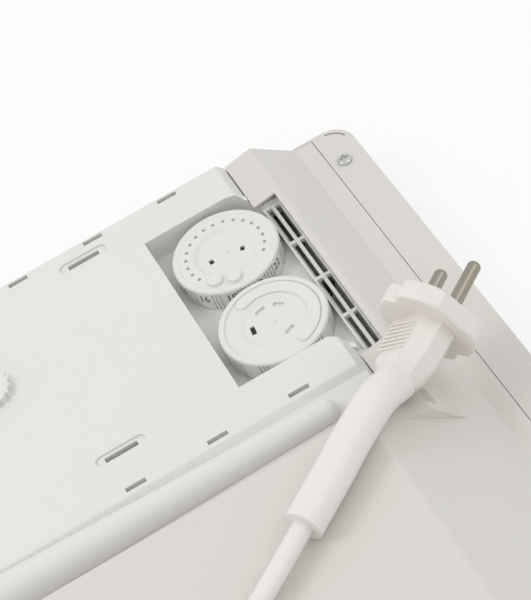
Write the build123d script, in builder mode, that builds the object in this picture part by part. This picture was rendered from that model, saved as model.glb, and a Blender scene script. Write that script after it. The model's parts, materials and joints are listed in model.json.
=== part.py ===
from build123d import *
import math
import os

# Electric convector heater lying on its front, seen from behind.
# X runs along the heater, Y up its height and Z out of its back. Millimetres.

# Casing
length = 775.0
height = 400.0
depth = 55.0
sheet = 1.0
strip_z = 21.0
strip_width = 14.3
corner_r = 10.0
front_edge_r = 1.6
seam_gap = 0.3
panel_clear = 0.2
land_width = 7.4
lip_width = 8.0
slope_angle = 38.8
bend_r = 4.0
outlet_count = 26
outlet_pitch = 27.0
outlet_slot = 20.0
outlet_width = 3.0
inlet_width = 4.0
vent_row_gap = 7.0

# Bay in the back panel that takes the thermostat
bay_width = 162.5
bay_floor_z = 31.6
bay_lip_z = 33.86
bay_lip_run = 12.0

# Thermostat housing
housing_width = 124.1
housing_length = 170.0
housing_top_drop = 50.0
housing_top_z = 35.0
housing_foot_z = 21.3
housing_wall = 2.2
housing_fit = 0.3
ledge_z = 32.6
ridge_r = 1.4
shoulder_run = 4.2
shoulder_drop = 3.4
side_inset = 0.9

# Dial well and dials
comfort_from_end = 42.65
dials_from_top = 68.3
dial_pitch = 42.5
dial_r = 20.75
dial_height = 9.0
dial_sink = 1.5
dial_wall = 1.8
well_lower_gap = 2.95
well_left_gap = 2.2
well_right_gap = 1.2
well_upper_gap = 0.45
well_floor_z = 24.2
well_wall = 2.0
well_corner_r = 12.0
well_edge_r = 1.4
pip_count = 17
pip_pitch = 15.19
pip_first = 51.9
pip_ring_r = 15.3
pip_r = 0.75
recess_r = 11.0
recess_depth = 1.3
number_count = 6
number_first = -81.0
number_pitch = 30.4
rib_count = 90
rib_depth = 0.45
peg_angles = (-38.5, -10.0)
peg_cap_r = 2.7
peg_cap_height = 1.5
peg_pin_r = 0.65
shaft_r = 2.95
shaft_clear = 0.05

# Grille beside the well
grille_cells = 4
grille_left = 28.7
grille_length = 90.5
grille_sink = 5.4
grille_inner = 3.2
grille_mid = 1.3
grille_outer = 2.2
grille_bar = 1.5
grille_thick = 1.6

# Works inside
base_z = 3.0
base_wall = 2.0
board_z = 10.4
board_thick = 1.6
pot_size = 16.0
pot_height = 8.0
bush_r = 3.4
element_y = -110.0
element_z = 28.0
element_start = -190.0
element_end = 340.0
element_rod_r = 4.9
fin_span = 64.0
fin_thick = 1.6
fin_angle = 22.0
bracket_hole_r = 7.1

# Fasteners and wall fixings
screw_from_end = 19.8
screw_head_r = 2.8
screw_head_h = 1.7
screw_shank_r = 1.45
wall_slot_spacing = 360.0
wall_slot_y = -30.0
wall_slot_length = 20.0
wall_slot_width = 7.0

# Mains lead and plug
cord_r = 3.5
coil_turns = 4.5
coil_pitch = 7.8
coil_mid_r = 37.25
coil_layer = 7.6
coil_lift = 1.3
tie_thick = 0.8
tie_width = 9.0
sleeve_r = 6.75
flange_r = 17.9
flange_flat = 15.8
flange_thick = 7.2
plug_pin_r = 2.4
plug_pin_length = 19.0
plug_pin_spacing = 19.0

# Places worked out from the sizes above
half_x = length / 2
half_y = height / 2
seam_y = half_y - strip_width
panel_half = half_x - sheet - panel_clear
land_outer = seam_y - seam_gap
slope_foot = land_outer - land_width
slope_tan = math.tan(math.radians(slope_angle))
slope_sin = math.sin(math.radians(slope_angle))
slope_top = slope_foot - (depth - strip_z) / slope_tan
bay_x = -half_x + bay_width
housing_left = -half_x + side_inset
housing_upper = half_y - housing_top_drop
housing_lower = housing_upper - housing_length
ridge_x = housing_left + housing_width
ledge_x = bay_x - 1.0
comfort_x = -half_x + comfort_from_end
setback_x = comfort_x + dial_pitch
dial_y = half_y - dials_from_top
dial_top = housing_top_z - dial_sink
dial_bottom = dial_top - dial_height
well_left = comfort_x - dial_r - well_left_gap
well_right = setback_x + dial_r + well_right_gap
well_lower = dial_y - dial_r - well_lower_gap
well_upper = dial_y + dial_r + well_upper_gap
grille_x0 = -half_x + grille_left
grille_x1 = grille_x0 + grille_length
grille_top_z = bay_lip_z - grille_sink
grille_y0 = well_upper
grille_y1 = grille_y0 + grille_inner
grille_y2 = grille_y1 + grille_mid
grille_y3 = grille_y2 + grille_outer
base_left = housing_left + 1.7
base_right = ledge_x - 1.7
base_upper = housing_upper - 1.7
base_lower = housing_lower + 1.7
hump_x = ridge_x + 11.6
hump_z = ledge_z + 2.4
hump_nose_y = dial_y + 1.0
gland_out = 9.0
slope_z = lambda y: strip_z + (slope_foot - y) * slope_tan

os.makedirs("parts", exist_ok=True)


def save(piece, name):
    piece.label = name
    export_step(piece, "parts/" + name + ".step")


def box_between(low, high):
    size = [high[i] - low[i] for i in range(3)]
    middle = [(high[i] + low[i]) / 2 for i in range(3)]
    return Pos(*middle) * Box(*size, mode=Mode.PRIVATE)


slit = CenterArc((0, 0), corner_r - 2.0, 112, 60)
grip_arc = CenterArc((0, 0), 15.4, 22.5, 181.5)

# Front cover: a shallow painted tray with a narrow return strip along its top and bottom edges
with BuildPart() as front_cover:
    with BuildSketch():
        RectangleRounded(length, height, corner_r)
    extrude(amount=strip_z)
    fillet(front_cover.faces().sort_by(Axis.Z)[0].edges(), front_edge_r)
    with BuildSketch(Plane.XY.offset(sheet)):
        RectangleRounded(length - 2 * sheet, height - 2 * sheet, corner_r - sheet)
    extrude(amount=strip_z - 2 * sheet, mode=Mode.SUBTRACT)
    with BuildSketch(Plane.XY.offset(strip_z - sheet)):
        Rectangle(length - 2 * sheet, 2 * seam_y)
    extrude(amount=sheet, mode=Mode.SUBTRACT)
    # Warm air leaves through two rows of slots in the top wall
    with BuildSketch(Plane((0, half_y, strip_z / 2), x_dir=(1, 0, 0), z_dir=(0, 1, 0))):
        with GridLocations(outlet_pitch, vent_row_gap, outlet_count, 2):
            Rectangle(outlet_slot, outlet_width)
    extrude(amount=-2 * sheet, mode=Mode.SUBTRACT)
    # Cool air enters through the bottom wall
    with BuildSketch(Plane((0, -half_y, strip_z / 2), x_dir=(1, 0, 0), z_dir=(0, -1, 0))):
        with GridLocations(outlet_pitch, vent_row_gap, outlet_count, 2):
            Rectangle(outlet_slot, inlet_width)
    extrude(amount=-2 * sheet, mode=Mode.SUBTRACT)
    # Narrow curved slit inside each corner of the strip, where the tray is folded
    with BuildSketch(Plane.XY.offset(strip_z - sheet)):
        for side, turn in ((-1, 0), (1, 284)):
            with Locations(Location((side * (half_x - corner_r), half_y - corner_r), turn)):
                SlotArc(slit, 0.7)
        for side, turn in ((-1, 76), (1, 180)):
            with Locations(Location((side * (half_x - corner_r), corner_r - half_y), turn)):
                SlotArc(slit, 0.7)
    extrude(amount=sheet, mode=Mode.SUBTRACT)
    # Clearance holes for the cover screws
    with Locations(Plane.XY.offset(strip_z)):
        with GridLocations(2 * (half_x - screw_from_end), 2 * (half_y - 8.8), 2, 2):
            Hole(screw_shank_r + 0.15, depth=2 * sheet)
save(front_cover.part, "front_cover")


def panel_profile(inset, foot_z):
    foot = slope_foot - inset / slope_sin
    top_z = depth - inset
    top_y = foot - (top_z - strip_z) / slope_tan
    reach = land_outer if inset == 0 else foot
    side = [(foot, strip_z), (reach, strip_z), (reach, foot_z)] if inset == 0 else [(foot, strip_z), (foot, foot_z)]
    mirrored = [(-y, z) for y, z in reversed(side)]
    with BuildSketch(Plane.YZ.offset(-panel_half + inset)) as outline:
        with BuildLine():
            Polyline(*mirrored, (-top_y, top_z), (top_y, top_z), *side, close=True)
        make_face()
        fillet(outline.vertices().group_by(Axis.Y)[-1], bend_r - inset)
    return outline.sketch


def bay_profile(inset):
    lip_y = slope_foot - (bay_lip_z - strip_z) / slope_tan
    with BuildSketch(Plane.YZ.offset(-half_x - 5)) as outline:
        with BuildLine():
            Polyline((-lip_y - 14, depth + 30), (-lip_y, bay_lip_z - inset),
                     (-lip_y + bay_lip_run, bay_floor_z - inset), (lip_y - bay_lip_run, bay_floor_z - inset),
                     (lip_y, bay_lip_z - inset), (lip_y + 14, depth + 30), close=True)
        make_face()
    return outline.sketch


# Hollow of the back panel, kept one sheet inside its outer form
with BuildPart() as panel_void:
    extrude(panel_profile(sheet, strip_z - 3 * sheet), amount=2 * (panel_half - sheet), dir=(1, 0, 0))
    with BuildPart(mode=Mode.PRIVATE) as bay_inner:
        extrude(bay_profile(sheet), amount=bay_width + 5 + sheet, dir=(1, 0, 0))
    add(bay_inner.part, mode=Mode.SUBTRACT)

# Back panel: folded sheet with a long sloping shoulder, closed ends and a bay at the thermostat's end
with BuildPart() as back_panel:
    extrude(panel_profile(0, strip_z - 2 * sheet), amount=2 * panel_half, dir=(1, 0, 0))
    with BuildPart(mode=Mode.PRIVATE) as bay_outer:
        extrude(bay_profile(0), amount=bay_width + 5, dir=(1, 0, 0))
    add(bay_outer.part, mode=Mode.SUBTRACT)
    add(panel_void.part, mode=Mode.SUBTRACT)
    # Lips that tuck under the strips, outside the flat lands
    for side in (-1, 1):
        with BuildSketch(Plane.XY.offset(strip_z - 2 * sheet)):
            with Locations((0, side * (land_outer - 1 + lip_width / 2))):
                Rectangle(2 * (half_x - corner_r - 1), lip_width + 2)
        extrude(amount=sheet)
    # Opening for the thermostat housing, with a notch for its grille
    add(box_between((-half_x - 1, housing_lower - housing_fit, housing_foot_z - 0.1),
                    (ledge_x + housing_fit, housing_upper + housing_fit, depth)), mode=Mode.SUBTRACT)
    add(box_between((grille_x0, housing_upper - 2, housing_foot_z),
                    (grille_x1, grille_y3, depth)), mode=Mode.SUBTRACT)
    # Notch that clears the cord gland below the housing
    add(box_between((hump_x - 7.2, housing_lower - gland_out - 2, housing_foot_z),
                    (hump_x + 7.2, housing_lower + 1, depth)), mode=Mode.SUBTRACT)
    # Screw holes in the lips
    with Locations(Plane.XY.offset(strip_z - sheet)):
        with GridLocations(2 * (half_x - screw_from_end), 2 * (half_y - 8.8), 2, 2):
            Hole(screw_shank_r + 0.05, depth=2 * sheet)
    # Slots for the hooks of the wall bracket
    with BuildSketch(Plane.XY.offset(depth)):
        with GridLocations(wall_slot_spacing, 1, 2, 1):
            with Locations((0, wall_slot_y)):
                SlotOverall(wall_slot_length, wall_slot_width)
    extrude(amount=-2 * sheet, mode=Mode.SUBTRACT)
save(back_panel.part, "back_panel")

# Outline of the dial well, open on the grille's side
with BuildSketch() as well_outline:
    with BuildLine():
        Polyline((well_left, well_lower), (well_right, well_lower), (well_right, well_upper - 9),
                 (well_right + 8, well_upper), (well_left, well_upper), close=True)
    make_face()
    fillet(well_outline.vertices().filter_by_position(Axis.X, well_left - 1, well_left + 1)
           .sort_by(Axis.Y)[-1], well_corner_r)

# Thermostat housing: moulded cover with the dial well, the grille and a hump over the cord's entry
with BuildPart() as thermostat_housing:
    with BuildSketch(Plane.XZ.offset(-housing_upper)) as housing_section:
        with BuildLine():
            Polyline((housing_left, housing_foot_z), (housing_left, housing_top_z), (ridge_x, housing_top_z),
                     (ridge_x + 2.4, ledge_z), (ledge_x, ledge_z), (ledge_x, housing_foot_z), close=True)
        make_face()
    extrude(amount=housing_length)
    upper_edge = thermostat_housing.faces().sort_by(Axis.Y)[-1].edges()
    chamfer(upper_edge.filter_by(Axis.X).filter_by_position(Axis.Z, housing_top_z - 0.1, housing_top_z + 0.1),
            length=shoulder_drop, length2=shoulder_run)
    rounds = thermostat_housing.edges().filter_by(Axis.Y).filter_by_position(
        Axis.Z, housing_top_z - 0.1, housing_top_z + 0.1)
    fillet(rounds, ridge_r)
    # Tapered hump that rises along the ledge and carries the cord gland at its lower end
    with BuildPart(mode=Mode.PRIVATE) as hump:
        with BuildSketch(Plane.XZ.offset(-hump_nose_y)):
            with Locations((hump_x, hump_z - 1)):
                Circle(4.6)
        with BuildSketch(Plane.XZ.offset(-housing_lower)):
            with Locations((hump_x, hump_z)):
                Circle(8.2)
        loft()
        fillet(hump.faces().sort_by(Axis.Y)[-1].edges(), 4.0)
    add(hump.part)
    # Frame under the grille, reaching below the sloping shoulder of the panel
    add(box_between((grille_x0 - 3, housing_upper - 3, housing_foot_z),
                    (grille_x1 + 3, grille_y3 + 1.6, bay_floor_z - sheet - 0.3)))
    # The inside is hollow
    add(box_between((housing_left + housing_wall, housing_lower + housing_wall, housing_foot_z - 1),
                    (ledge_x - housing_wall, housing_upper - housing_wall - 2, ledge_z - housing_wall)),
        mode=Mode.SUBTRACT)
    add(box_between((grille_x0 - 1.4, housing_upper - housing_wall - 3, housing_foot_z - 1),
                    (grille_x1 + 1.4, grille_y3 + 0.2, grille_top_z - grille_thick)), mode=Mode.SUBTRACT)
    # Walls and floor of the dial well
    with BuildSketch(Plane.XY.offset(well_floor_z - well_wall)):
        add(well_outline.sketch)
        offset(amount=well_wall, kind=Kind.ARC)
    extrude(amount=housing_top_z - well_floor_z - 1.0)
    with BuildSketch(Plane.XY.offset(well_floor_z)):
        add(well_outline.sketch)
    extrude(amount=depth, mode=Mode.SUBTRACT)
    # The well's wall stays inside the housing's outline beside the grille
    add(box_between((housing_left, housing_upper, bay_floor_z - sheet - 0.3),
                    (grille_x0, housing_upper + 8, depth)), mode=Mode.SUBTRACT)
    # Sunk channel of the grille
    add(box_between((grille_x0, grille_y0 - 2, grille_top_z), (grille_x1, grille_y3, depth)),
        mode=Mode.SUBTRACT)
    cell = (grille_length - (grille_cells + 1) * grille_bar) / grille_cells
    for n in range(grille_cells):
        cell_x = grille_x0 + grille_bar + n * (cell + grille_bar)
        add(box_between((cell_x, grille_y0 + 0.8, grille_top_z - 3),
                        (cell_x + cell, grille_y1, grille_top_z + 1)), mode=Mode.SUBTRACT)
        add(box_between((cell_x, grille_y2, grille_top_z - 3),
                        (cell_x + cell, grille_y3 - 0.2, grille_top_z + 1)), mode=Mode.SUBTRACT)
    # Holes for the bushes of the two dial spindles
    with Locations((comfort_x, dial_y, well_floor_z), (setback_x, dial_y, well_floor_z)):
        Hole(bush_r + 0.2, depth=well_wall + 1)
    # Snap slots along both long edges, and two screw slots sunk in rounded recesses
    with BuildSketch(Plane.XY.offset(housing_top_z)):
        for n in range(3):
            with Locations((housing_left + 2.6, dial_y - 7.0 - 32.4 * n), (ridge_x - 2.6, dial_y - 7.0 - 32.4 * n)):
                Rectangle(2.0, 8.0)
    extrude(amount=-4, mode=Mode.SUBTRACT)
    with BuildSketch(Plane.XY.offset(housing_top_z)):
        with Locations((housing_left + 9.4, dial_y - 46.4), (ridge_x - 20.0, dial_y - 70.3)):
            SlotOverall(20.0, 5.0, rotation=90)
    extrude(amount=-0.8, mode=Mode.SUBTRACT)
    with BuildSketch(Plane.XY.offset(housing_top_z)):
        with Locations((housing_left + 9.4, dial_y - 46.4), (ridge_x - 20.0, dial_y - 70.3)):
            Rectangle(2.2, 13.0)
    extrude(amount=-5, mode=Mode.SUBTRACT)
    # Bore at the lower end of the hump for the cord gland
    with Locations(Plane((hump_x, housing_lower, hump_z), x_dir=(1, 0, 0), z_dir=(0, -1, 0))):
        Hole(5.6, depth=12)
save(thermostat_housing.part, "thermostat_housing")

# Thermostat base: open tray that closes the housing from inside and carries the board
with BuildPart() as thermostat_base:
    add(box_between((base_left, base_lower, base_z), (base_right, base_upper, housing_foot_z)))
    add(box_between((base_left + base_wall, base_lower + base_wall, base_z + base_wall),
                    (base_right - base_wall, base_upper - base_wall, depth)), mode=Mode.SUBTRACT)
    with Locations((base_left + 10, 0, base_z + 1), (base_left + 10, 130, base_z + 1),
                   (base_left + 92, 0, base_z + 1), (base_left + 92, 130, base_z + 1)):
        Cylinder(3.0, board_z - base_z - 1, align=(Align.CENTER, Align.CENTER, Align.MIN))
    # Notches that let the sensor leads and the element leads out
    add(box_between((setback_x - 16, base_upper - 4, 14), (setback_x - 8, base_upper + 1, depth)),
        mode=Mode.SUBTRACT)
    add(box_between((comfort_x + 8, base_lower - 1, 8), (comfort_x + 26, base_lower + 4, 16)),
        mode=Mode.SUBTRACT)
save(thermostat_base.part, "thermostat_base")


def dial_section(x, ring_drop):
    disc_z = dial_top - recess_depth
    with BuildSketch(Plane((x, dial_y, 0), x_dir=(1, 0, 0), z_dir=(0, -1, 0))) as section:
        with BuildLine():
            Polyline((dial_r, dial_bottom), (dial_r, dial_top - 1.0), (dial_r - 0.35, dial_top - 0.3),
                     (dial_r - 1.1, dial_top), (18.4, dial_top), (18.1, dial_top - ring_drop),
                     (recess_r + 1.4, dial_top - ring_drop), (recess_r, disc_z), (1.2, disc_z),
                     (0.7, disc_z + 0.5), (0, disc_z + 0.5), (0, disc_z - 1.7),
                     (dial_r - dial_wall, disc_z - 1.7), (dial_r - dial_wall, dial_bottom), close=True)
        make_face()
    return section.sketch


def rib_angles():
    pads = [number_first + number_pitch * n for n in range(number_count)]
    for n in range(rib_count):
        angle = 360.0 * n / rib_count - 180
        if all(abs(angle - pad) > 8 for pad in pads):
            yield angle


def dial_hub(x):
    return Pos(x, dial_y, dial_top - recess_depth - 1.2) * Cylinder(
        5.0, 5.0, align=(Align.CENTER, Align.CENTER, Align.MAX), mode=Mode.PRIVATE)


# Comfort dial: cap with a knurled skirt, a ring of index pips and a sunk centre
with BuildPart() as comfort_dial:
    revolve(dial_section(comfort_x, 0.25), axis=Axis((comfort_x, dial_y, 0), (0, 0, 1)))
    add(dial_hub(comfort_x))
    with Locations((comfort_x, dial_y, dial_bottom)):
        Cylinder(shaft_r + shaft_clear, dial_height - 3.2, mode=Mode.SUBTRACT,
                 align=(Align.CENTER, Align.CENTER, Align.MIN))
    with BuildSketch(Plane((comfort_x, dial_y, dial_bottom - 0.1))):
        for angle in rib_angles():
            with PolarLocations(dial_r, 1, start_angle=angle):
                Rectangle(2 * rib_depth, 0.7)
    extrude(amount=dial_height - 0.9, mode=Mode.SUBTRACT)
    with BuildSketch(Plane((comfort_x, dial_y, dial_top))):
        with PolarLocations(pip_ring_r, pip_count, start_angle=pip_first,
                            angular_range=pip_pitch * pip_count):
            Circle(pip_r)
    extrude(amount=-1.3, mode=Mode.SUBTRACT)
    with BuildSketch(Plane((comfort_x, dial_y, dial_top))):
        for angle in peg_angles:
            with PolarLocations(pip_ring_r - 0.4, 1, start_angle=angle):
                Circle(peg_pin_r + 0.1)
    extrude(amount=-dial_height, mode=Mode.SUBTRACT)
    with BuildSketch(Plane((comfort_x, dial_y, dial_top))):
        for angle in (70, -85):
            with PolarLocations(6.4, 1, start_angle=angle):
                Rectangle(1.8, 2.4)
    extrude(amount=-1.3 - 0.9, mode=Mode.SUBTRACT)
save(comfort_dial.part, "comfort_dial")

# Setback dial: same cap with a raised C-shaped grip and four windows
with BuildPart() as setback_dial:
    revolve(dial_section(setback_x, 0.7), axis=Axis((setback_x, dial_y, 0), (0, 0, 1)))
    add(dial_hub(setback_x))
    with Locations((setback_x, dial_y, dial_bottom)):
        Cylinder(shaft_r + shaft_clear, dial_height - 3.2, mode=Mode.SUBTRACT,
                 align=(Align.CENTER, Align.CENTER, Align.MIN))
    with BuildSketch(Plane((setback_x, dial_y, dial_top - 1.0))):
        SlotArc(grip_arc, 4.6)
    extrude(amount=1.0)
    with BuildSketch(Plane((setback_x, dial_y, dial_bottom - 0.1))):
        for angle in rib_angles():
            with PolarLocations(dial_r, 1, start_angle=angle):
                Rectangle(2 * rib_depth, 0.7)
    extrude(amount=dial_height - 0.9, mode=Mode.SUBTRACT)
    with BuildSketch(Plane((setback_x, dial_y, dial_top))):
        for angle in (23, 141, 194, 263):
            with PolarLocations(8.0, 1, start_angle=angle):
                Rectangle(1.8, 4.2)
    extrude(amount=-1.3 - 0.9, mode=Mode.SUBTRACT)
save(setback_dial.part, "setback_dial")


def make_peg(angle, name):
    x = comfort_x + (pip_ring_r - 0.4) * math.cos(math.radians(angle))
    y = dial_y + (pip_ring_r - 0.4) * math.sin(math.radians(angle))
    seat = dial_top - 0.25
    with BuildPart() as peg:
        with Locations((x, y, seat)):
            Cylinder(peg_cap_r, peg_cap_height, align=(Align.CENTER, Align.CENTER, Align.MIN))
        fillet(peg.faces().sort_by(Axis.Z)[-1].edges(), 0.5)
        with Locations((x, y, seat + 0.2)):
            Cylinder(peg_pin_r, 2.6, align=(Align.CENTER, Align.CENTER, Align.MAX))
    save(peg.part, name)


# Two pull-out pegs that limit the comfort dial's travel
make_peg(peg_angles[0], "lower_limit_peg")
make_peg(peg_angles[1], "upper_limit_peg")


def make_control(x, prefix):
    body_top = board_z + board_thick + pot_height
    with BuildPart() as body:
        with Locations((x, dial_y, board_z + board_thick)):
            Box(pot_size, pot_size, pot_height, align=(Align.CENTER, Align.CENTER, Align.MIN))
        chamfer(body.edges().filter_by(Axis.Z), 2.0)
        with Locations((x, dial_y, body_top)):
            Cylinder(bush_r, well_floor_z - body_top + 1.2, align=(Align.CENTER, Align.CENTER, Align.MIN))
        with Locations((x, dial_y, board_z + board_thick + 2)):
            Cylinder(shaft_r + shaft_clear, 20, mode=Mode.SUBTRACT,
                     align=(Align.CENTER, Align.CENTER, Align.MIN))
    save(body.part, prefix + "_potentiometer")
    with BuildPart() as shaft:
        with Locations((x, dial_y, board_z + board_thick + 2.1)):
            Cylinder(shaft_r, dial_top - 3.4 - board_z - board_thick - 2.1,
                     align=(Align.CENTER, Align.CENTER, Align.MIN))
    save(shaft.part, prefix + "_shaft")


# One potentiometer and one spindle under each dial
make_control(comfort_x, "comfort")
make_control(setback_x, "setback")

# Circuit board on the four posts of the base
board_right = base_left + 100
with BuildPart() as circuit_board:
    add(box_between((base_left + 4, -8, board_z), (board_right, base_upper - 5, board_z + board_thick)))
save(circuit_board.part, "circuit_board")

board_top = board_z + board_thick

# Relay that switches the element
with BuildPart() as relay:
    with Locations((comfort_x - 6, 62, board_top)):
        Box(15.5, 19.0, 15.0, align=(Align.CENTER, Align.CENTER, Align.MIN))
    chamfer(relay.edges().filter_by(Axis.Z), 0.8)
save(relay.part, "relay")

# Smoothing capacitor
with BuildPart() as capacitor:
    with Locations((setback_x - 8, 62, board_top)):
        Cylinder(7.0, 14.0, align=(Align.CENTER, Align.CENTER, Align.MIN))
    fillet(capacitor.faces().sort_by(Axis.Z)[-1].edges(), 1.0)
save(capacitor.part, "capacitor")

# Terminal block with four screw ways
with BuildPart() as terminal_block:
    with Locations((comfort_x + 17, 10, board_top)):
        Box(36.0, 14.0, 14.0, align=(Align.CENTER, Align.CENTER, Align.MIN))
    with Locations(Plane((comfort_x + 17, 10, board_top + 14.0))):
        with GridLocations(8.6, 1, 4, 1):
            Hole(1.9, depth=5)
save(terminal_block.part, "terminal_block")

# Room sensor under the grille, on two leads from the board
with BuildPart() as room_sensor:
    for dx in (-1.0, 1.0):
        x = setback_x - 12 + dx
        with BuildLine() as lead:
            FilletPolyline((x, base_upper - 8, board_top), (x, base_upper - 8, 17.0),
                           (x, grille_y1 + 1.4, 17.0), (x, grille_y1 + 1.4, 21.0), radius=2.0)
        with BuildSketch(Plane(origin=lead.line @ 0, z_dir=lead.line % 0)):
            Circle(0.4)
        sweep(path=lead.line)
    with Locations((setback_x - 12, grille_y1 + 1.4, 22.2)):
        Cylinder(1.9, 4.0)
save(room_sensor.part, "room_sensor")

# Heating element: sheathed rod inside a finned aluminium extrusion
with BuildPart() as element_fins:
    with BuildSketch(Plane.YZ.offset(element_start)):
        with Locations((element_y, element_z)):
            Circle(element_rod_r + 2.2)
            Rectangle(fin_span, fin_thick, rotation=fin_angle)
            Rectangle(fin_span, fin_thick, rotation=-fin_angle)
            Circle(element_rod_r + 0.05, mode=Mode.SUBTRACT)
    extrude(amount=element_end - element_start)
save(element_fins.part, "element_fins")

rod_over = 16.0
with BuildPart() as element_rod:
    with BuildSketch(Plane.YZ.offset(element_start - rod_over)):
        with Locations((element_y, element_z)):
            Circle(element_rod_r)
    extrude(amount=element_end - element_start + 2 * rod_over)
save(element_rod.part, "element_rod")


def element_place(side):
    return (element_start - 8, -1) if side < 0 else (element_end + 8, 1)


def make_bush(side, name):
    x, way = element_place(side)
    with BuildPart() as bush:
        with BuildSketch(Plane.YZ.offset(x - way * 5)):
            with Locations((element_y, element_z)):
                Circle(10.0)
        extrude(amount=way * 4.2)
        with BuildSketch(Plane.YZ.offset(x - way * 5)):
            with Locations((element_y, element_z)):
                Circle(bracket_hole_r - 0.1)
        extrude(amount=way * 9)
        with BuildSketch(Plane.YZ.offset(x - way * 6)):
            with Locations((element_y, element_z)):
                Circle(element_rod_r + 0.05)
        extrude(amount=way * 12, mode=Mode.SUBTRACT)
    save(bush.part, name)


def make_bracket(side, name):
    x, way = element_place(side)
    plate_x = x - 0.6
    with BuildPart() as bracket:
        add(box_between((plate_x, element_y - 22, element_z - 14), (plate_x + 1.2, element_y + 22, depth - sheet)))
        add(box_between((min(plate_x, plate_x + way * 14), element_y - 22, depth - sheet - 1.2),
                        (max(plate_x + 1.2, plate_x + way * 14), element_y + 22, depth - sheet)))
        with BuildSketch(Plane.YZ.offset(plate_x - 1)):
            with Locations((element_y, element_z)):
                Circle(bracket_hole_r)
        extrude(amount=4, mode=Mode.SUBTRACT)
    save(bracket.part, name)


# Ceramic bushes and sheet brackets that carry the element at both ends
make_bush(-1, "left_element_bush")
make_bush(1, "right_element_bush")
make_bracket(-1, "left_element_bracket")
make_bracket(1, "right_element_bracket")

# Thermal cut-out clipped to the left bracket
with BuildPart() as thermal_cutout:
    with BuildSketch(Plane.YZ.offset(element_start - 8 + 0.6)):
        with Locations((element_y + 14, element_z + 17)):
            Circle(6.5)
    extrude(amount=5)
    with BuildSketch(Plane.YZ.offset(element_start - 8 + 5.6)):
        with Locations((element_y + 14, element_z + 17)):
            Rectangle(8.0, 2.0)
    extrude(amount=3)
save(thermal_cutout.part, "thermal_cutout")

# Heat shield between the element and the back panel, on four legs
shield_z = 46.8
with BuildPart() as heat_shield:
    add(box_between((element_start + 12, element_y - 28, shield_z), (element_end - 12, element_y + 28, shield_z + 0.8)))
    for x in (element_start + 30, element_end - 44):
        for y in (element_y - 20, element_y + 19):
            add(box_between((x, y, shield_z), (x + 14, y + 1, depth - sheet)))
save(heat_shield.part, "heat_shield")


def tube(points, radius, bend):
    with BuildPart() as run:
        with BuildLine() as route:
            FilletPolyline(*points, radius=bend)
        with BuildSketch(Plane(origin=route.line @ 0, z_dir=route.line % 0)):
            Circle(radius)
        sweep(path=route.line)
    return run.part


# Two leads from the terminal block to the element, one over the other
lead_parts = []
for shift in (0, 8.6):
    lead_parts.append(tube([(comfort_x + 12.7 + shift, 3, board_top + 6.5 - 0.4),
                            (comfort_x + 12.7 + shift, -14, 12 + 0.2 * shift),
                            (comfort_x + 16 + shift, -50, 13.0 + 0.3 * shift),
                            (comfort_x + 60 + shift, -88 - shift / 2, 16.0),
                            (element_start - 40, element_y - 3 + shift / 1.5, 22.0),
                            (element_start - rod_over, element_y - 2.4 + shift / 1.8, element_z)],
                           1.3, 12.0))
lead_wires = Compound(label="lead_wires", children=lead_parts)
export_step(lead_wires, "parts/lead_wires.step")

# Raised catch for the wall bracket, pressed out of the shoulder beside the bay
catch_x1 = -half_x + 166.2
catch_x0 = catch_x1 - 16.0
catch_y0 = 144.6
catch_y1 = 167.0


def make_catch(side, name):
    low = min(side * catch_x0, side * catch_x1)
    with BuildPart() as catch:
        with BuildSketch(Plane.YZ.offset(low)):
            with BuildLine():
                Polyline((catch_y1, slope_z(catch_y1) + 0.02), (catch_y1 - 10, slope_z(catch_y1 - 10) + 5.5),
                         (catch_y0 + 4.4, slope_z(catch_y0 + 4.4) + 0.9),
                         (catch_y0 - 4, slope_z(catch_y0 - 4) + 0.02), close=True)
            make_face()
        extrude(amount=catch_x1 - catch_x0)
        add(box_between((low + 4, catch_y1 - 10, slope_z(catch_y1 - 10) + 1.4),
                        (low + 12, catch_y1 - 6, depth)), mode=Mode.SUBTRACT)
    save(catch.part, name)


make_catch(-1 if catch_x0 > 0 else 1, "left_bracket_catch")
make_catch(1 if catch_x0 > 0 else -1, "right_bracket_catch")

# Four cross-head screws that hold the back panel's lips to the strips
with BuildPart() as cover_screws:
    for x in (-half_x + screw_from_end, half_x - screw_from_end):
        for y in (-half_y + 8.8, half_y - 8.8):
            with Locations((x, y, strip_z)):
                Cylinder(screw_head_r, screw_head_h, align=(Align.CENTER, Align.CENTER, Align.MIN))
            with Locations((x, y, strip_z + 0.2)):
                Cylinder(screw_shank_r, 8.0, align=(Align.CENTER, Align.CENTER, Align.MAX))
            with Locations((x, y, strip_z + screw_head_h)):
                Box(3.2, 0.8, 1.4, mode=Mode.SUBTRACT)
                Box(0.8, 3.2, 1.4, mode=Mode.SUBTRACT)
    chamfer(cover_screws.edges().filter_by(GeomType.CIRCLE).filter_by_position(
        Axis.Z, strip_z + screw_head_h - 0.01, strip_z + screw_head_h + 0.01), 0.8)
save(cover_screws.part, "cover_screws")

# Round cap with a coarse rim on the lower part of the housing
cap_x = comfort_x + 6.0
cap_y = dial_y - 101.0
with BuildPart() as adjuster_cap:
    with BuildSketch(Plane((cap_x, cap_y, housing_top_z))):
        Circle(8.0)
        with PolarLocations(8.0, 16):
            Circle(0.8)
    extrude(amount=3.0)
save(adjuster_cap.part, "adjuster_cap")

# Gland that grips the cord in the lower end of the hump
with BuildPart() as cord_gland:
    with BuildSketch(Plane.XZ.offset(-housing_lower - 10)):
        with Locations((hump_x, hump_z)):
            Circle(5.5)
    extrude(amount=10)
    with BuildSketch(Plane.XZ.offset(-housing_lower)):
        with Locations((hump_x, hump_z)):
            Circle(6.2)
    extrude(amount=gland_out, taper=6)
save(cord_gland.part, "cord_gland")

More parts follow.
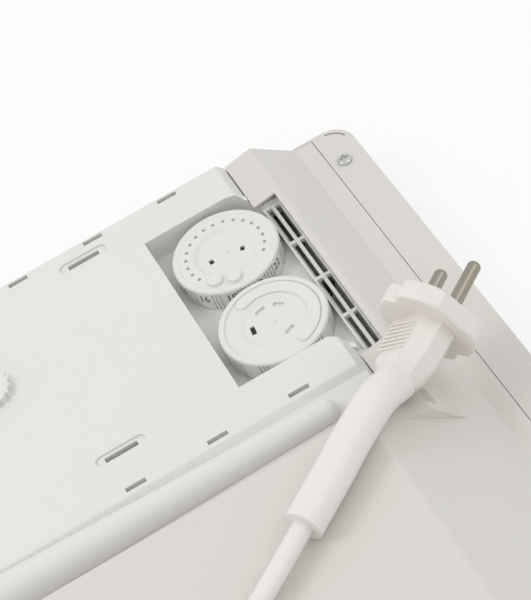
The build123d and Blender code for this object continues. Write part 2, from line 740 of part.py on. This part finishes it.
# Plug: its frame follows the pins, which point away along the sleeve's line
plug_face = Vector(-247.4, 175.7, 55.0)
pin_way = Vector(-0.561, 0.824, 0.078).normalized()
across = Vector(0.719, 0.439, 0.539)
across = (across - pin_way * across.dot(pin_way)).normalized()
plug_plane = Plane(origin=plug_face, x_dir=across, z_dir=pin_way)

with BuildPart() as plug_body:
    with BuildSketch(plug_plane):
        Circle(flange_r)
        Rectangle(2 * flange_flat, 4 * flange_r, mode=Mode.INTERSECT)
        with Locations((0, flange_r), (0, -flange_r)):
            Rectangle(6.0, 5.0, mode=Mode.SUBTRACT)
    extrude(amount=-flange_thick)
    with BuildSketch(plug_plane.offset(-flange_thick)):
        RectangleRounded(22.0, 15.0, 3.0)
    with BuildSketch(plug_plane.offset(-24.0)):
        RectangleRounded(17.0, 14.4, 4.0)
    loft()
    with BuildSketch(plug_plane.offset(-24.0)):
        RectangleRounded(17.0, 14.4, 4.0)
    with BuildSketch(plug_plane.offset(-29.0)):
        Circle(sleeve_r + 0.4)
    loft()
    with BuildSketch(plug_plane):
        with Locations((-plug_pin_spacing / 2, 0), (plug_pin_spacing / 2, 0)):
            Circle(plug_pin_r + 0.05)
    extrude(amount=-5, mode=Mode.SUBTRACT)
    # Grip ribs across the two broad sides
    for side in (-1, 1):
        for n in range(6):
            with BuildSketch(plug_plane.offset(-flange_thick - 3.0 - 2.4 * n)):
                with Locations((0, side * 7.6)):
                    Rectangle(24, 1.2)
            extrude(amount=-1.0, mode=Mode.SUBTRACT)
save(plug_body.part, "plug_body")

with BuildPart() as plug_pins:
    with BuildSketch(plug_plane.offset(-4.8)):
        with Locations((-plug_pin_spacing / 2, 0), (plug_pin_spacing / 2, 0)):
            Circle(plug_pin_r)
    extrude(amount=plug_pin_length + 4.8)
    tips = [face for face in plug_pins.faces().filter_by(GeomType.PLANE)
            if (face.center() - plug_face).dot(pin_way) > plug_pin_length - 0.1]
    fillet([edge for face in tips for edge in face.edges()], 1.8)
save(plug_pins.part, "plug_pins")

# Strain-relief sleeve, bent up over the edge of the shoulder
sleeve_start = plug_face - pin_way * 29.0
sleeve_points = [tuple(sleeve_start), (-223.2, 142.6, 60.6), (-211.5, 127.4, 62.9),
                 (-202.3, 115.0, 62.5), (-191.0, 98.5, 61.9)]


def bend_radii(points):
    radii = []
    for before, here, after in zip(points, points[1:], points[2:]):
        run_in = Vector(*here) - Vector(*before)
        run_out = Vector(*after) - Vector(*here)
        half = math.radians(run_in.get_angle(run_out)) / 2
        radii.append(0.45 * min(run_in.length, run_out.length) / math.tan(half))
    return radii


def corded(points, radius, name):
    radii = bend_radii(points)
    print(name, "bend radii", [round(r, 1) for r in radii])
    with BuildPart() as run:
        with BuildLine() as route:
            FilletPolyline(*points, radius=radii)
        with BuildSketch(Plane(origin=route.line @ 0, z_dir=route.line % 0)):
            Circle(radius)
        sweep(path=route.line)
    run_length = sum(edge.length for edge in route.edges())
    print(name, "volume", round(run.part.volume), "section by length",
          round(math.pi * radius ** 2 * run_length), "length", round(run_length))
    save(run.part, name)
    return run.part


corded(sleeve_points, sleeve_r, "plug_sleeve")

# Coil of the mains lead on the back panel: two layers of loops, in and then out again
coil_x = -55.0
coil_y = -75.0
coil_z = depth + coil_lift + cord_r
coil_span = 2 * math.pi * coil_turns
coil_inner = coil_mid_r - coil_pitch * coil_turns / 4


def coil_point(turn):
    away = turn - coil_span / 2
    r = coil_inner + coil_pitch / (2 * math.pi) * math.sqrt(away * away + 0.5)
    climb = min(max((away + math.pi / 2) / math.pi, 0.0), 1.0)
    climb = climb * climb * (3 - 2 * climb)
    angle = turn - math.pi / 2
    return Vector(coil_x + r * math.cos(angle), coil_y + r * math.sin(angle), coil_z + coil_layer * climb)


def coil_way(turn):
    step = 0.001
    return (coil_point(turn + step) - coil_point(turn - step)).normalized()


def biarc(p0, t0, p1, t1):
    v = p1 - p0
    t = t0 + t1
    a = t.dot(t) - 4
    b = -2 * v.dot(t)
    c = v.dot(v)
    d = (-b - math.sqrt(b * b - 4 * a * c)) / (2 * a)
    q0 = p0 + t0 * d
    q1 = p1 - t1 * d
    middle = (q0 + q1) * 0.5
    return middle, (q1 - q0).normalized()


quarters = int(coil_turns * 4)
with BuildPart() as cord_coil:
    with BuildLine() as coil_route:
        start = coil_point(0)
        Line(start - coil_way(0) * 2 * cord_r, start)
        for n in range(quarters):
            a0 = coil_span * n / quarters
            a1 = coil_span * (n + 1) / quarters
            mid, mid_way = biarc(coil_point(a0), coil_way(a0), coil_point(a1), coil_way(a1))
            TangentArc(coil_point(a0), mid, tangent=coil_way(a0))
            TangentArc(mid, coil_point(a1), tangent=mid_way)
        end = coil_point(coil_span)
        Line(end, end + coil_way(coil_span) * 2 * cord_r)
    with BuildSketch(Plane(origin=coil_route.line @ 0, z_dir=coil_route.line % 0)):
        Circle(cord_r)
    sweep(path=coil_route.line)
save(cord_coil.part, "cord_coil")

# Least gap between loops, measured on points a turn or more apart
samples = [coil_point(coil_span * n / 720) for n in range(721)]
apart = int(720 / coil_turns * 0.6)
least = min((samples[i] - samples[j]).length for i in range(721) for j in range(i + apart, 721))
coil_length = sum(edge.length for edge in coil_route.edges())
print("coil least gap", round(least - 2 * cord_r, 2), "mid radius", coil_mid_r,
      "volume", round(cord_coil.part.volume), "section by length",
      round(math.pi * cord_r ** 2 * coil_length), "length", round(coil_length))

# Tie strap round the loops on their right
tie_in = coil_inner - cord_r - 2.0
tie_out = coil_mid_r + coil_pitch * coil_turns / 4 + cord_r + 2.5
tie_top = coil_z + coil_layer + cord_r + 0.4
with BuildPart() as cord_tie:
    add(box_between((coil_x + tie_in, coil_y - tie_width / 2, depth + 0.1),
                    (coil_x + tie_out, coil_y + tie_width / 2, tie_top + tie_thick)))
    add(box_between((coil_x + tie_in + tie_thick, coil_y - tie_width, depth + 0.1 + tie_thick),
                    (coil_x + tie_out - tie_thick, coil_y + tie_width, tie_top)), mode=Mode.SUBTRACT)
    fillet(cord_tie.edges().filter_by(Axis.Y), 0.3)
save(cord_tie.part, "cord_tie")

# Free stretches of the lead: gland to coil, and coil to the plug's sleeve
coil_in = coil_point(0) - coil_way(0) * 2 * cord_r
coil_out = coil_point(coil_span) + coil_way(coil_span) * 2 * cord_r
gland_end = (hump_x, housing_lower - gland_out, hump_z)
lower_points = [gland_end, (hump_x - 1.5, housing_lower - 36, hump_z + 2.5), (-248.0, -84.0, 50.0),
                (-234.0, -108.0, 60.5), (-206.0, -123.0, 62.0), (-172.0, -129.0, 60.6),
                (-137.0, -126.5, 60.0), (-100.0, -121.5, 59.8), tuple(coil_in)]
corded(lower_points, cord_r, "power_cord_lower")
upper_points = [sleeve_points[-1], (-170.0, 68.5, 60.6), (-152.0, 37.0, 59.9), (-134.0, 8.0, 60.8),
                (-112.0, -14.0, 63.4), (-88.0, -26.0, 66.2), tuple(coil_out)]
corded(upper_points, cord_r, "power_cord_upper")
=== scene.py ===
"""Electric convector heater lying on its front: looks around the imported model."""
import json
import math

import bmesh
import bpy
from mathutils import Matrix, Vector


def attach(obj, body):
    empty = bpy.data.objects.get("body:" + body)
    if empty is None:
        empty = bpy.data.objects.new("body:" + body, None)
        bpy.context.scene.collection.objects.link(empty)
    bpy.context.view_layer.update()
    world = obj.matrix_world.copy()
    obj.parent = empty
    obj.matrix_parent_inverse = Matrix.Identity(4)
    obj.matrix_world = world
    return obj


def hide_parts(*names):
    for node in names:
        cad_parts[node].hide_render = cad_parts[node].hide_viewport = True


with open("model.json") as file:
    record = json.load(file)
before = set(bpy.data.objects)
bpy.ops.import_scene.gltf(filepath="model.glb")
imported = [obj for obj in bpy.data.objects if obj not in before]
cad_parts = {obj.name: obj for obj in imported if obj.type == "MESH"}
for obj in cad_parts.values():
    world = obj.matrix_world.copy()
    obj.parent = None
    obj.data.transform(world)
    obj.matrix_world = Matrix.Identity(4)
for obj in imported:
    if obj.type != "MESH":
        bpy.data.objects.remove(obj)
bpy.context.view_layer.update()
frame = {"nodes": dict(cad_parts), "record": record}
nodes = frame["nodes"]

# Lengths are written in millimetres unless a comment says metres
MM = 0.001


def linked(name, data):
    obj = bpy.data.objects.new(name, data)
    bpy.context.scene.collection.objects.link(obj)
    return obj


# Camera: where it stands, and the ways right and down in its picture
camera_place = Vector((262.4, 55.9, 628.9))
camera_right = Vector((0.41414, 0.86375, -0.28709)).normalized()
camera_down = Vector((0.59197, -0.49519, -0.63590))
camera_forward = camera_right.cross(camera_down).normalized()
camera_up = camera_right.cross(camera_forward).normalized()
camera_data = bpy.data.cameras.new("camera")
camera_data.sensor_width = 36.0
camera_data.sensor_fit = "AUTO"
camera_data.lens = 138.28
camera_data.clip_start = 0.01
camera_data.clip_end = 50.0
camera = linked("camera", camera_data)
camera_turn = Matrix((camera_right, camera_up, -camera_forward)).transposed().to_4x4()
camera.matrix_world = Matrix.Translation(camera_place * MM) @ camera_turn
bpy.context.scene.camera = camera

# Materials: noise scales are per metre, and grain depths are in metres
PATCH_SCALE = 14.0
PATCH_DETAIL = 3.0
GRAIN_DETAIL = 4.0
COAT_ROUGHNESS = 0.25
ROUGHNESS_SPREAD = 0.07
LEAST_ROUGHNESS = 0.02
BUMP_STRENGTH = 0.5


def new_material(name):
    material = bpy.data.materials.new(name)
    material.use_nodes = True
    return material, material.node_tree.nodes, material.node_tree.links


def noise(tree, links, place, scale, detail):
    node = tree.new("ShaderNodeTexNoise")
    node.inputs["Scale"].default_value = scale
    node.inputs["Detail"].default_value = detail
    links.new(place.outputs["Object"], node.inputs["Vector"])
    return node


def coated(name, colour, roughness, grain, grain_depth, shade=0.03, metallic=0.0, coat=0.0, sheen=0.0):
    """Surface with fine grain in its bump and gloss, and slow changes of shade."""
    material, tree, links = new_material(name)
    shader = tree["Principled BSDF"]
    shader.inputs["Metallic"].default_value = metallic
    shader.inputs["Coat Weight"].default_value = coat
    shader.inputs["Coat Roughness"].default_value = COAT_ROUGHNESS
    shader.inputs["Sheen Weight"].default_value = sheen
    place = tree.new("ShaderNodeTexCoord")
    fine = noise(tree, links, place, grain, GRAIN_DETAIL)
    slow = noise(tree, links, place, PATCH_SCALE, PATCH_DETAIL)
    tint = tree.new("ShaderNodeMix")
    tint.data_type = "RGBA"
    tint.inputs["A"].default_value = (*[c * (1 - shade) for c in colour], 1)
    tint.inputs["B"].default_value = (*[min(c * (1 + shade), 1) for c in colour], 1)
    links.new(slow.outputs["Fac"], tint.inputs["Factor"])
    links.new(tint.outputs["Result"], shader.inputs["Base Color"])
    gloss = tree.new("ShaderNodeMapRange")
    gloss.inputs["To Min"].default_value = max(roughness - ROUGHNESS_SPREAD, LEAST_ROUGHNESS)
    gloss.inputs["To Max"].default_value = roughness + ROUGHNESS_SPREAD
    links.new(fine.outputs["Fac"], gloss.inputs["Value"])
    links.new(gloss.outputs["Result"], shader.inputs["Roughness"])
    bump = tree.new("ShaderNodeBump")
    bump.inputs["Strength"].default_value = BUMP_STRENGTH
    bump.inputs["Distance"].default_value = grain_depth
    links.new(fine.outputs["Fac"], bump.inputs["Height"])
    links.new(bump.outputs["Normal"], shader.inputs["Normal"])
    return material


paint = (0.665, 0.645, 0.605)
plastic = (0.745, 0.738, 0.71)
finishes = {
    "white_paint": coated("powder_coat", paint, 0.42, 900, 0.00004, shade=0.015, coat=0.1),
    "white_plastic": coated("moulded_white", plastic, 0.46, 2200, 0.00003, shade=0.015),
    "white_gloss_plastic": coated("moulded_gloss", (0.77, 0.73, 0.69), 0.33, 1800, 0.00002, shade=0.02),
    "grey_plastic": coated("moulded_grey", (0.6, 0.6, 0.58), 0.5, 1800, 0.00004),
    "board": coated("board_laminate", (0.05, 0.17, 0.08), 0.35, 500, 0.00003, shade=0.15, coat=0.3),
    "dark_plastic": coated("moulded_dark", (0.03, 0.03, 0.033), 0.4, 1800, 0.00003, shade=0.1),
    "steel": coated("plated_steel", (0.62, 0.62, 0.61), 0.28, 700, 0.00002, metallic=1.0),
    "nickel": coated("nickel_plate", (0.36, 0.33, 0.28), 0.36, 700, 0.00001, metallic=1.0),
    "aluminium": coated("extruded_aluminium", (0.68, 0.68, 0.69), 0.36, 500, 0.00003, metallic=1.0),
    "ceramic": coated("unglazed_ceramic", (0.74, 0.71, 0.64), 0.7, 1200, 0.00006),
    "cord_sheath": coated("flexible_sheath", (0.79, 0.76, 0.73), 0.4, 1500, 0.00003, shade=0.02, sheen=0.05),
    "lead_sheath": coated("silicone_sleeve", (0.6, 0.57, 0.5), 0.55, 1200, 0.00005),
}
peg_finish = coated("peg_moulding", plastic, 0.36, 2000, 0.00002, shade=0.01)
ink = coated("scale_ink", (0.02, 0.02, 0.02), 0.5, 2000, 0.00001, shade=0.1)
# Painted shade: a near-black finish for the sheets that stand in for the shade seen through the dials' open
# windows
painted_window_shade = coated("window_shade_sheet", (0.03, 0.03, 0.03), 0.7, 2000, 0.00001, shade=0.1)

slots = {entry["node"]: entry["material_slot"] for entry in frame["record"]["subparts"]}
for name, node in nodes.items():
    node.data.materials.clear()
    node.data.materials.append(finishes[slots[name]])
for name in ("lower_limit_peg", "upper_limit_peg"):
    nodes[name].data.materials[0] = peg_finish


def finished(obj, slot_name, body, material=None):
    obj.data.materials.clear()
    obj.data.materials.append(material or finishes[slot_name])
    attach(obj, body)
    return obj


def mesh_piece(name, points, faces, slot_name, body, material=None):
    mesh = bpy.data.meshes.new(name)
    mesh.from_pydata([tuple(value * MM for value in point) for point in points], [], faces)
    mesh.validate()
    mesh.update()
    return finished(linked(name, mesh), slot_name, body, material)


# Plain scale numbers round the comfort dial's skirt
comfort_x = -344.85
setback_x = -302.35
dial_y = 131.7
dial_r = 20.75
dial_top = 33.5
number_height = 4.6
number_drop = 3.9
number_lift = 0.04
number_first = 14
number_step = 2
number_count = 6
number_start_angle = -81.0
number_pitch_angle = 30.4


def scale_number(number, angle):
    font = bpy.data.curves.new("number", "FONT")
    font.body = number
    font.align_x = "CENTER"
    font.align_y = "CENTER"
    font.size = number_height
    font.resolution_u = 3
    holder = linked("number", font)
    flat = bpy.data.meshes.new_from_object(holder)
    bpy.data.objects.remove(holder)
    r = dial_r + number_lift
    points = []
    for vertex in flat.vertices:
        turned = math.radians(angle) + vertex.co.x / dial_r
        points.append((comfort_x + r * math.cos(turned), dial_y + r * math.sin(turned),
                       dial_top - number_drop + vertex.co.y))
    faces = [tuple(face.vertices) for face in flat.polygons]
    mesh_piece("scale_number_" + number, points, faces, "dark_plastic", "comfort_dial", ink)


for n in range(number_count):
    scale_number(str(number_first + number_step * n), number_start_angle + number_pitch_angle * n)

# Near-black sheets a little below the dials' tops, behind their open windows: painted shade standing in for
# the shade inside the holes
window_drop = 2.1
window_width = 1.7
window_corners = ((-1, -1), (1, -1), (1, 1), (-1, 1))


def window_shade_sheet(name, x, radius, angle, tall, body):
    a = math.radians(angle)
    out = Vector((math.cos(a), math.sin(a), 0))
    side = Vector((-math.sin(a), math.cos(a), 0))
    middle = Vector((x, dial_y, dial_top - window_drop)) + out * radius
    points = [middle + out * (i * window_width / 2) + side * (j * tall / 2) for i, j in window_corners]
    mesh_piece(name, points, [(0, 1, 2, 3)], "dark_plastic", body, painted_window_shade)


window_shade_sheet("comfort_window_a", comfort_x, 6.4, 70, 2.3, "comfort_dial")
window_shade_sheet("comfort_window_b", comfort_x, 6.4, -85, 2.3, "comfort_dial")
window_shade_sheet("setback_window", setback_x, 8.0, 263, 4.1, "setback_dial")

# Plug body, drawn in the frame of its pins: q across them, w through the plug, d behind its face
plug_face = Vector((-247.4, 175.7, 55.0))
pin_way = Vector((-0.561, 0.824, 0.078)).normalized()
across = Vector((0.719, 0.439, 0.539))
across = (across - pin_way * across.dot(pin_way)).normalized()
through = pin_way.cross(across)
if through.z > 0:
    through = -through


def plug_point(q, w, d):
    return plug_face + across * q + through * w - pin_way * d


def ray_to(outline, angle):
    """Point where a ray from the middle leaves a closed outline."""
    way = Vector((math.cos(angle), math.sin(angle)))
    for a, b in zip(outline, outline[1:] + outline[:1]):
        edge = Vector(b) - Vector(a)
        cross = way.x * edge.y - way.y * edge.x
        if abs(cross) < 1e-9:
            continue
        far = (a[0] * edge.y - a[1] * edge.x) / cross
        along = (a[0] * way.y - a[1] * way.x) / cross
        if far > 0 and -1e-6 <= along <= 1 + 1e-6:
            return way * far
    return way


def circle_outline(radius, count=72):
    angles = [2 * math.pi * n / count for n in range(count)]
    return [(radius * math.cos(angle), radius * math.sin(angle)) for angle in angles]


def scaled(outline, q_share, w_share):
    return [(q * q_share, w * w_share) for q, w in outline]


def bevelled(obj, width):
    soften = obj.modifiers.new("edges", "BEVEL")
    soften.width = width * MM
    soften.segments = 3
    return soften


RING_STEPS = 48
MOST_CORNERS = 30


def ring_piece(name, rings, bevel):
    """Closed skin through rings of (outline, depth behind the plug's face)."""
    angles = {round(2 * math.pi * n / RING_STEPS, 5) for n in range(RING_STEPS)}
    for outline, depth in rings:
        if len(outline) < MOST_CORNERS:
            angles |= {round(math.atan2(w, q) % (2 * math.pi), 5) for q, w in outline}
    angles = sorted(angles)
    points = []
    for outline, depth in rings:
        for angle in angles:
            q, w = ray_to(outline, angle)
            points.append(plug_point(q, w, depth))
    count = len(angles)
    faces = []
    for r in range(len(rings) - 1):
        for n in range(count):
            m = (n + 1) % count
            faces.append((r * count + n, r * count + m, (r + 1) * count + m, (r + 1) * count + n))
    faces.append(tuple(reversed(range(count))))
    faces.append(tuple((len(rings) - 1) * count + n for n in range(count)))
    obj = mesh_piece(name, points, faces, "white_gloss_plastic", "casing")
    work = bmesh.new()
    work.from_mesh(obj.data)
    bmesh.ops.recalc_face_normals(work, faces=work.faces)
    work.to_mesh(obj.data)
    work.free()
    soften = bevelled(obj, bevel)
    soften.limit_method = "ANGLE"
    soften.angle_limit = math.radians(24)
    for face in obj.data.polygons:
        face.use_smooth = True
    obj.modifiers.new("shade", "WEIGHTED_NORMAL")
    return obj


# Flange: a round cut straight at both ends, with a notch in the middle of each long side
flange_r = 17.9
flange_half = 15.8
notch_share = 0.84
notch_half_angle = 9
flange = [(max(-flange_half, min(flange_half, q)), w) for q, w in circle_outline(flange_r, 28)]
notched = []
for q, w in flange:
    in_notch = abs(abs(math.degrees(math.atan2(w, q))) - 90) < notch_half_angle
    share = notch_share if in_notch else 1.0
    notched.append((q * share, w * share))
inset = scaled(notched, 0.965, 0.965)
ring_piece("plug_flange", [(inset, 0.0), (notched, 0.7), (notched, 6.6), (inset, 7.4)], 0.35)

# Grip: faceted, narrowing to the sleeve
grip = [(-11.0, -6.8), (7.2, -7.4), (11.0, -1.4), (9.8, 5.6), (7.5, 7.2), (-9.5, 7.4), (-11.0, 5.0)]
grip_rings = [(grip, 6.8), (grip, 8.0), (scaled(grip, 0.94, 0.97), 20.5), (scaled(grip, 0.76, 0.94), 25.5),
              (circle_outline(7.1), 29.6)]
plug_grip = ring_piece("plug_grip", grip_rings, 0.5)
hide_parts("plug_body")

# Ribs across the flat side of the grip
rib_count = 7
rib_first = 9.6
rib_pitch = 1.75
rib_thick = 0.85
rib_left = -9.6
rib_right = 6.0
rib_foot = -6.0
rib_crest = -7.75
rib_names = ["grip_rib_" + str(n) for n in range(rib_count)]
box_faces = [(0, 1, 2, 3), (4, 7, 6, 5), (0, 4, 5, 1), (1, 5, 6, 2), (2, 6, 7, 3), (3, 7, 4, 0)]
for n, rib_name in enumerate(rib_names):
    near = rib_first + rib_pitch * n
    far = near + rib_thick
    corners = [(rib_left, near), (rib_right, near), (rib_right, far), (rib_left, far)]
    bar = [plug_point(q, w, d) for w in (rib_foot, rib_crest) for q, d in corners]
    rib = mesh_piece(rib_name, bar, box_faces, "white_gloss_plastic", "casing")
    bevelled(rib, 0.28)

# Mains lead: out of the gland, into the coil, and back up to the plug's sleeve
cord_d = 7.0
half_x = 387.5
housing_inset = 0.9
housing_width = 124.1
ridge_to_hump = 11.6
hump_x = -half_x + housing_inset + housing_width + ridge_to_hump
hump_z = 35.0
coil_turns = 4.5
coil_pitch = 7.8
coil_mid_r = 37.25
coil_layer = 7.6
coil_x = -55.0
coil_y = -75.0
coil_z = 59.8
coil_span = 2 * math.pi * coil_turns
coil_inner = coil_mid_r - coil_pitch * coil_turns / 4
points_per_turn = 14


def coil_point(turned):
    """Spiral in on one layer, a smooth climb over half a turn, and out again on the next."""
    away = turned - coil_span / 2
    r = coil_inner + coil_pitch / (2 * math.pi) * math.sqrt(away * away + 0.5)
    climb = min(max((away + math.pi / 2) / math.pi, 0.0), 1.0)
    climb = climb * climb * (3 - 2 * climb)
    angle = turned - math.pi / 2
    return (coil_x + r * math.cos(angle), coil_y + r * math.sin(angle), coil_z + coil_layer * climb)


def coil_way(turned):
    before = Vector(coil_point(turned - 0.001))
    after = Vector(coil_point(turned + 0.001))
    return (after - before).normalized()


def lead(name, points):
    curve = bpy.data.curves.new(name, "CURVE")
    curve.dimensions = "3D"
    spline = curve.splines.new("NURBS")
    spline.points.add(len(points) - 1)
    for item, point in zip(spline.points, points):
        item.co = (*[value * MM for value in point], 1.0)
    spline.order_u = 3
    spline.use_endpoint_u = True
    spline.resolution_u = 12
    curve.bevel_depth = cord_d / 2 * MM
    curve.bevel_resolution = 5
    curve.use_fill_caps = True
    obj = finished(linked(name, curve), "cord_sheath", "casing")
    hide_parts("power_cord_lower", "cord_coil", "power_cord_upper")


coil_in = tuple(Vector(coil_point(0)) - coil_way(0) * cord_d)
coil_out = tuple(Vector(coil_point(coil_span)) + coil_way(coil_span) * cord_d)
lower = [(hump_x, -29.0, hump_z), (hump_x - 1.5, -56.0, hump_z + 2.5), (-248.0, -84.0, 50.0),
         (-234.0, -108.0, 60.5), (-206.0, -123.0, 62.0), (-172.0, -129.0, 60.6),
         (-137.0, -126.5, 60.0), (-100.0, -121.5, 59.8), coil_in]
coil_steps = int(coil_turns * points_per_turn)
wind = [coil_point(coil_span * n / coil_steps) for n in range(coil_steps + 1)]
upper = [coil_out, (-88.0, -26.0, 66.2), (-112.0, -14.0, 63.4), (-134.0, 8.0, 60.8), (-152.0, 37.0, 59.9),
         (-170.0, 68.5, 60.6), (-191.0, 98.5, 61.9)]
lead("mains_lead", lower + wind + upper)

# Studio, in metres: pale floor, white surroundings and two soft lamps
floor_reach = 6.0
floor_z = -0.0005
floor_grey = 0.86
floor_white_share = 0.75
world_light = 0.86
world_white = 1.0
floor_corners = [(-floor_reach, -floor_reach, floor_z), (floor_reach, -floor_reach, floor_z),
                 (floor_reach, floor_reach, floor_z), (-floor_reach, floor_reach, floor_z)]
floor_mesh = bpy.data.meshes.new("floor")
floor_mesh.from_pydata(floor_corners, [], [(0, 1, 2, 3)])
floor = linked("floor", floor_mesh)
floor_material, tree, links = new_material("pale_floor")
floor_shader = tree["Principled BSDF"]
floor_shader.inputs["Base Color"].default_value = (floor_grey, floor_grey, floor_grey, 1)
floor_shader.inputs["Roughness"].default_value = 0.8
glow = tree.new("ShaderNodeEmission")
glow.inputs["Strength"].default_value = 1.0
blend = tree.new("ShaderNodeMixShader")
seen = tree.new("ShaderNodeLightPath")
white_share = tree.new("ShaderNodeMath")
white_share.operation = "MULTIPLY"
white_share.inputs[1].default_value = floor_white_share
links.new(seen.outputs["Is Camera Ray"], white_share.inputs[0])
links.new(white_share.outputs["Value"], blend.inputs["Fac"])
links.new(floor_shader.outputs["BSDF"], blend.inputs[1])
links.new(glow.outputs["Emission"], blend.inputs[2])
links.new(blend.outputs["Shader"], tree["Material Output"].inputs["Surface"])
floor_mesh.materials.append(floor_material)

world = bpy.data.worlds.new("studio")
bpy.context.scene.world = world
world.use_nodes = True
world_tree = world.node_tree.nodes
world_links = world.node_tree.links
surroundings = world_tree["Background"]
surroundings.inputs["Color"].default_value = (1, 1, 1, 1)
world_seen = world_tree.new("ShaderNodeLightPath")
strength = world_tree.new("ShaderNodeMapRange")
strength.inputs["To Min"].default_value = world_light
strength.inputs["To Max"].default_value = world_white
world_links.new(world_seen.outputs["Is Camera Ray"], strength.inputs["Value"])
world_links.new(strength.outputs["Result"], surroundings.inputs["Strength"])


def lamp(name, place, target, size, power):
    data = bpy.data.lights.new(name, "AREA")
    data.size = size
    data.energy = power
    obj = linked(name, data)
    obj.location = place
    obj.rotation_mode = "QUATERNION"
    obj.rotation_quaternion = (Vector(target) - Vector(place)).to_track_quat("-Z", "Y")


lamp("key", (-0.5, -1.1, 1.6), (-0.25, 0.1, 0.0), 0.6, 7)
lamp("fill", (0.2, 1.2, 1.5), (-0.2, 0.0, 0.0), 0.9, 3)

bpy.context.scene.view_settings.view_transform = "Standard"
